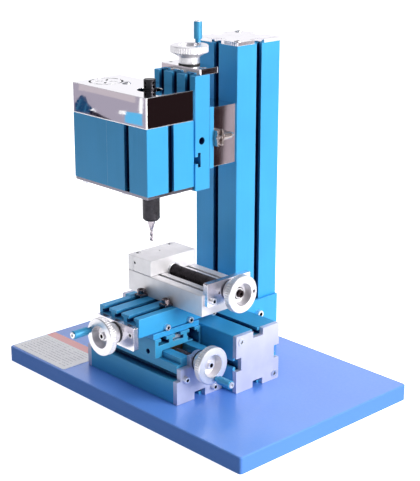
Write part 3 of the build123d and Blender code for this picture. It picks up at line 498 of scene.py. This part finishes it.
def thrust_washer(name, origin, axis, low, body, material):
    """A black washer with a rounded rim between an end plate and a handwheel's hub."""
    high, lip = low + WASHER_T, 0.2 * MM
    profile = [(WASHER_BORE_R, low), (WASHER_R - lip, low), (WASHER_R, low + lip),
               (WASHER_R, high - lip), (WASHER_R - lip, high), (WASHER_BORE_R, high)]
    mesh_piece(name, lathe(name, origin, axis, profile), material, body, smooth=False)


def make_washers(material):
    """One washer for each slide's handwheel; the Y slide's wheel is at the low end of its axis."""
    x_plate, z_plate = span("x_end_plates", X)[1], span("z_end_plate", Z)[1]
    y_plate = span("y_end_plate", Y)[0]
    thrust_washer("x_thrust_washer", X_SCREW, X, x_plate + WASHER_GAP, "base", material)
    thrust_washer("y_thrust_washer", Y_SCREW, Y, y_plate - WASHER_GAP - WASHER_T, "y_table", material)
    thrust_washer("z_thrust_washer", Z_SCREW, Z, z_plate + WASHER_GAP, "head", material)


def make_vise_collar(material):
    """A thin bright collar where the vise's screw leaves the moving jaw."""
    jaw_end = span("vise_screw", X)[0] + SCREW_IN_JAW
    outline_mm = [(5.2, 0.03), (6.5, 0.03), (6.5, 0.8), (6.1, 1.1), (5.2, 1.1)]
    profile = [(radius * MM, jaw_end + out * MM) for radius, out in outline_mm]
    mesh_piece("vise_collar", lathe("vise_collar", VISE_SCREW, X, profile), material, "vise_jaw")


def make_screws(material, black):
    """Threaded lead screws and vise screw in place of their plain CAD rods."""
    for name, axis in (("x", X), ("y", Y), ("z", Z)):
        node = f"{name}_lead_screw"
        mesh = threaded_rod(f"{name}_screw_thread", node, axis, LEAD_SCREW_R, LEAD_SCREW_PITCH)
        piece = mesh_piece(f"{name}_screw_thread", mesh, material, f"{name}_wheel")
        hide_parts(node)
    end = span("vise_screw", X)[1]
    shoulder = span("vise_end_plate", X)[1] + 1.0 * MM
    mesh = threaded_rod("vise_screw_thread", "vise_screw", X, VISE_SCREW_R, VISE_SCREW_PITCH, end - shoulder)
    piece = mesh_piece("vise_screw_thread", mesh, black, "vise_wheel")
    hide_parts("vise_screw")


def fluted_cutter(material):
    """An end mill with two helical flutes in place of the plain CAD cutter."""
    origin = centre("end_mill")
    low, high = span("end_mill", Z)
    neck, shank = low + 8.5 * MM, low + 15.5 * MM
    flute_end, cutter_r, shank_r = neck + 2 * MM, 1.6 * MM, 3.1 * MM
    lead, count, rings = 9.0 * MM, 32, []
    heights = [low + i * 0.3 * MM for i in range(int((flute_end - low) / (0.3 * MM)))]
    for height in heights:
        twist = TURN * (height - low) / lead
        fade = min(1.0, max(0.0, (flute_end - height) / (2 * MM)))

        def radius_at(angle, twist=twist, fade=fade):
            lobe = math.cos(2 * (angle - twist))
            return cutter_r * (1 - fade * (0.42 * max(0.0, 0.35 - lobe) ** 0.8))
        rings.append(ring_points(origin, Z, height, radius_at, count))
    for radius, height in ((cutter_r, neck + 1.5 * MM), (shank_r, shank), (shank_r, high)):
        if height > heights[-1]:
            rings.append(ring_points(origin, Z, height, lambda _, r=radius: r, count))
    mesh = swept_rings("cutter", rings)
    piece = mesh_piece("cutter", mesh, material, "spindle")
    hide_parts("end_mill")


def fan_guard(material):
    """A dark mesh disc under the cover's vent slots."""
    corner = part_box("belt_cover")[0]
    middle = Vector((corner.x + 16.5 * MM, corner.y + 22.3 * MM, COVER_TOP - 2.8 * MM))
    bore, rim, top = 0.4 * MM, 15 * MM, middle.z + 1 * MM
    profile = [(bore, middle.z), (rim, middle.z), (rim, top), (bore, top)]
    mesh_piece("vent_screen", lathe("vent_screen", middle, Z, profile), material, "head", smooth=False)


# --- stage -----------------------------------------------------------------------------------------
def plane(name, corners, material):
    mesh = bpy.data.meshes.new(name)
    mesh.from_pydata([tuple(c) for c in corners], [], [tuple(range(len(corners)))])
    mesh.materials.append(material)
    piece = bpy.data.objects.new(name, mesh)
    bpy.context.scene.collection.objects.link(piece)
    return piece


def make_floor():
    """A plain white sweep, lit from within; it adds no bounce, as the room is dim."""
    s = Surface("floor_paint", (0.9, 0.9, 0.9), Roughness=0.9)
    s.set(s.shader, {"Emission Color": (1, 1, 1, 1), "Emission Strength": 0.95, "Specular IOR Level": 0.1})
    cloud = s.noise(3, 2)
    s.set(s.shader, {"Base Color": s.mix(cloud, (0.89, 0.89, 0.89), (0.93, 0.93, 0.93))})
    reach = 6.0
    corners = [(-reach, -reach, 0), (reach, -reach, 0), (reach, reach, 0), (-reach, reach, 0)]
    floor = plane("floor", corners, s.material)
    floor.visible_diffuse = False


def reflection(axis, face, point, distance):
    """The spot, at a distance, that the camera sees mirrored at a point of a flat face."""
    mirrored = CAMERA.copy()
    mirrored[axis] = 2 * face - mirrored[axis]
    spot = Vector(point)
    return spot + (spot - mirrored).normalized() * distance


def reflector(name, corners, colour):
    """A glowing card that shows only in reflections."""
    s = Surface(name + "_paint", (0, 0, 0), Roughness=1.0)
    s.set(s.shader, {"Specular IOR Level": 0.0, "Emission Color": (*colour, 1), "Emission Strength": 1.0})
    card = plane(name, corners, s.material)
    card.visible_camera = card.visible_diffuse = card.visible_shadow = False


def mirrored_card(name, axis, face, points, distance, colour):
    """A card placed so that the camera sees it fill an outline drawn on a flat face."""
    reflector(name, [reflection(axis, face, point, distance) for point in points], colour)


def on_front(across, up):
    """A point of the cover's front face: across from 0 at the left, up from 0 at the bottom."""
    low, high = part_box("belt_cover")
    return Vector((low.x + (high.x - low.x) * across, low.y, low.z + (high.z - low.z) * up))


def outline_card(name, spots, distance, colour):
    """A card placed so that the camera sees it fill an outline drawn on the cover's front face."""
    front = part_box("belt_cover")[0].y
    mirrored_card(name, Y, front, [on_front(*spot) for spot in spots], distance, colour)


# how far the cards of the cover's picture stand, so that the nearer ones hide the others
FAR, MIDDLE, NEAR, NEAREST = 0.62, 0.58, 0.57, 0.56
PLATE_CARD, CLAMP_CARD = 0.5, 0.35   # how far the cards of the Z slide's plate and the clamp stand
OVERLAP = 0.01                      # how far a card reaches past the face that shows it
SIDE_CARD_X, SIDE_CARD_LOW, SIDE_CARD_HIGH = 0.42, -0.05, 0.21
SIDE_DARK_Y, SIDE_SPLIT_Y, SIDE_LIGHT_Y = 0.10, 0.404, 0.47


def cover_picture():
    """What the cover's front shows: a grey room with blue and dark shapes low on it."""
    outline_card("grey_wall", [(-0.3, -0.5), (1.4, -0.5), (1.4, 1.6), (-0.3, 1.6)], FAR, (0.44, 0.40, 0.49))
    fan = [(0.045, 0.04), (0.05, 0.30), (0.08, 0.42), (0.14, 0.64),
           (0.19, 0.58), (0.22, 0.42), (0.30, 0.24), (0.27, 0.06)]
    outline_card("blue_shape", fan, MIDDLE, (0.011, 0.060, 0.155))
    folds = (("blue_fold_low", (0.06, 0.10), (0.15, 0.50)), ("blue_fold_high", (0.15, 0.06), (0.22, 0.40)))
    for name, (left, bottom), (right, top) in folds:
        fold = [(left, bottom), (left + 0.025, bottom), (right, top), (right - 0.025, top)]
        outline_card(name, fold, NEAR, (0.03, 0.14, 0.28))
    dark = [(0.23, 0.04), (0.26, 0.20), (0.31, 0.19), (0.42, 0.13), (0.54, 0.04)]
    outline_card("dark_edge", dark, NEAR, (0.012, 0.008, 0.02))
    bright = [(0.25, 0.20), (0.29, 0.29), (0.34, 0.19), (0.30, 0.21)]
    outline_card("bright_edge", bright, NEAREST, (1.2, 1.2, 1.25))
    blue = [(0.71, 0.07), (0.95, 0.10), (0.95, 0.50), (0.71, 0.42)]
    outline_card("blue_patch", blue, MIDDLE, (0.13, 0.56, 0.95))
    white = [(0.64, 0.32), (0.72, 0.32), (0.72, 0.44), (0.64, 0.42)]
    outline_card("white_patch", white, NEAREST, (1.2, 1.2, 1.2))
    strip = [(0.92, 0.50), (0.955, 0.50), (0.955, 0.97), (0.92, 0.97)]
    outline_card("white_strip", strip, NEAREST, (1.4, 1.4, 1.4))


def side_card(name, near_y, far_y, colour):
    """An upright card on the right, seen in the right sides of the cover and the clamp."""
    corners = [(SIDE_CARD_X, near_y, SIDE_CARD_LOW), (SIDE_CARD_X, far_y, SIDE_CARD_LOW),
               (SIDE_CARD_X, far_y, SIDE_CARD_HIGH), (SIDE_CARD_X, near_y, SIDE_CARD_HIGH)]
    reflector(name, corners, colour)


def make_reflectors():
    # a tall bright screen behind the set, which whitens every top face
    left, right, bottom, top = (-2.6, -0.9), (0.6, 2.3), 0.02, 2.2
    screen = [(*left, bottom), (*right, bottom), (*right, top), (*left, top)]
    reflector("backdrop", screen, (1.05, 1.04, 1.08))
    cover_picture()
    # the pale front edge of the Z slide's top plate
    low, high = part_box("z_end_plate")
    pale = [(low.x - OVERLAP, low.y, low.z - OVERLAP), (high.x + OVERLAP, low.y, low.z - OVERLAP),
            (high.x + OVERLAP, low.y, high.z + OVERLAP), (low.x - OVERLAP, low.y, high.z + OVERLAP)]
    mirrored_card("plate_glow", Y, low.y, pale, PLATE_CARD, (0.62, 0.55, 0.60))
    # the dark half of the clamp's right side, with a leaning edge
    low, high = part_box("z_clamp_side_plates")
    middle = low.y + (high.y - low.y) * 0.52
    dark = [(high.x, low.y - OVERLAP, low.z - OVERLAP), (high.x, middle - 0.003, low.z - OVERLAP),
            (high.x, middle + 0.002, high.z + OVERLAP), (high.x, low.y - OVERLAP, high.z + OVERLAP)]
    mirrored_card("clamp_shadow", X, high.x, dark, CLAMP_CARD, (0.028, 0.012, 0.014))
    # what the cover's and the clamp's right sides show: dark, then a light strip
    side_card("flag_right", SIDE_DARK_Y, SIDE_SPLIT_Y, (0.019, 0.010, 0.011))
    side_card("strip_right", SIDE_SPLIT_Y, SIDE_LIGHT_Y, (0.48, 0.42, 0.46))


# --- put it together ----------------------------------------------------------------------------------
def paint(material, *names):
    for name in names:
        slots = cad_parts[name].data.materials
        if len(slots) == 0:
            slots.append(material)
        for i in range(len(slots)):
            slots[i] = material


def paint_nodes():
    """Give every CAD node that shows its finished material."""
    # the parts along X take a darker copy of the blue as painted shade
    along_x = anodised("anodised_x", X, BED_SHADE_BLUE)
    along_y, along_z = anodised("anodised_y", Y), anodised("anodised_z", Z)
    paint(board_lacquer(), "base_board")
    paint(printed_card(), "label_card")
    paint(along_x, "bed_beam", "x_rail", "x_carriage")
    paint(along_y, "y_table", "y_rail")
    paint(along_z, "column_beam", "z_carriage", "z_rail", "spindle_beam", "motor_housing", "column_brackets")
    # painted reflection: the lavender in these plates' colours stands for the blue board they reflect, bluer
    # and darker on the lower X end plates
    paint(brushed("end_plate_x", (0.66, 0.66, 0.80), Z, 0.35, (0.34, 0.46), depth=0.002), "bed_end_plates")
    paint(brushed("end_plate_low", (0.52, 0.55, 0.72), Z, 0.35, (0.34, 0.46), depth=0.002), "x_end_plates")
    paint(brushed("end_plate_y", (0.80, 0.78, 0.84), X, 0.9, (0.16, 0.28), depth=0.002),
          "y_end_plate", "vise_end_plate")
    paint(brushed("end_plate_z", (0.86, 0.84, 0.87), X, rough=(0.04, 0.10), depth=0.002),
          "z_end_plate", "column_cap")
    paint(brushed("clamp_plate", (0.80, 0.74, 0.76), Z, rough=(0.03, 0.08), depth=0.001),
          "z_clamp_side_plates", "z_clamp_block")
    # painted shade and a painted dark reflection: the bottom plate near black, with a painted highlight three
    # times brighter on its edges
    paint(brushed("bottom_plate", (0.20, 0.19, 0.23), X, rim=3.0), "head_bottom_plate")
    paint(milled("vise_metal", (0.90, 0.88, 0.90)), "vise_body", "vise_fixed_jaw", "vise_moving_jaw")
    wheels = (("x_handwheel", X_SCREW, X), ("y_handwheel", Y_SCREW, Y), ("z_handwheel", Z_SCREW, Z),
              ("vise_handwheel", VISE_SCREW, X))
    for name, origin, axis in wheels:
        # radius of the painted shade in each hub's socket
        socket = (3.2 if name == "vise_handwheel" else 1.7) * MM
        metal = turned(name + "_metal", (0.84, 0.82, 0.85), origin, axis, 0.75, (0.26, 0.42), socket=socket)
        paint(metal, name)
    grips = (("x_handle_grip", X), ("y_handle_grip", Y), ("z_handle_grip", Z))
    for name, axis in grips:
        paint(turned(name + "_metal", (0.05, 0.36, 0.66), centre(name), axis, 0.25, (0.3, 0.45), 1500), name)
    steel = zinc()
    paint(steel, "board_bolts", "y_rail_bolts", "beam_end_screws", "column_bracket_screws", "x_end_screws",
          "z_clamp_bolts", "y_table_screws", "vise_screws", "head_screws", "power_socket")
    # painted highlight: the clamps' edges much brighter, by the factor rim
    paint(brushed("dark_steel", (0.20, 0.16, 0.17), Z, 1.0, (0.08, 0.2), rim=4.5), "vise_clamps")
    # painted reflection: the lock's dark brown-grey stands for dark surroundings seen in its chrome, with a
    # painted highlight on its edges
    paint(brushed("lock_steel", (0.40, 0.34, 0.33), Z, 0.9, (0.15, 0.3), rim=2.4), "z_lock")
    paint(chrome(), "belt_cover")
    paint(black_oxide("spindle_black", SPINDLE, Z, (0.032, 0.030, 0.036)), "collet_nut", "spindle_cap")
    vise_black = black_oxide("vise_screw_black", VISE_SCREW, X, (0.050, 0.042, 0.046))
    paint(vise_black, "vise_screw")
    ground = turned("ground_steel", (0.42, 0.38, 0.42), SPINDLE, Z, 1.0, (0.15, 0.28))
    paint(ground, "spindle_shaft", "spindle_bearings", "motor", "motor_shaft", "end_mill")
    oiled = turned("oiled_steel", (0.13, 0.10, 0.11), X_SCREW, X, 1.0, (0.2, 0.35))
    paint(oiled, "x_lead_screw", "y_lead_screw", "z_lead_screw")
    paint(brushed("bronze", (0.26, 0.15, 0.07), X, 1.0, (0.25, 0.4)), "carriage_nuts", "z_nut")
    paint(moulded("black_plastic", (0.02, 0.02, 0.022)), "spindle_pulley")
    paint(moulded("belt_rubber", (0.02, 0.02, 0.02), (0.6, 0.8)), "drive_belt")
    return ground, vise_black, oiled, steel


make_camera()
make_lights()
make_floor()
make_reflectors()
ground_steel, vise_black, oiled_steel, fastener_zinc = paint_nodes()
make_screws(oiled_steel, vise_black)
fluted_cutter(ground_steel)
black = moulded("black_nylon", (0.02, 0.02, 0.022))
fan_guard(black)
make_washers(black)
make_vise_collar(fastener_zinc)
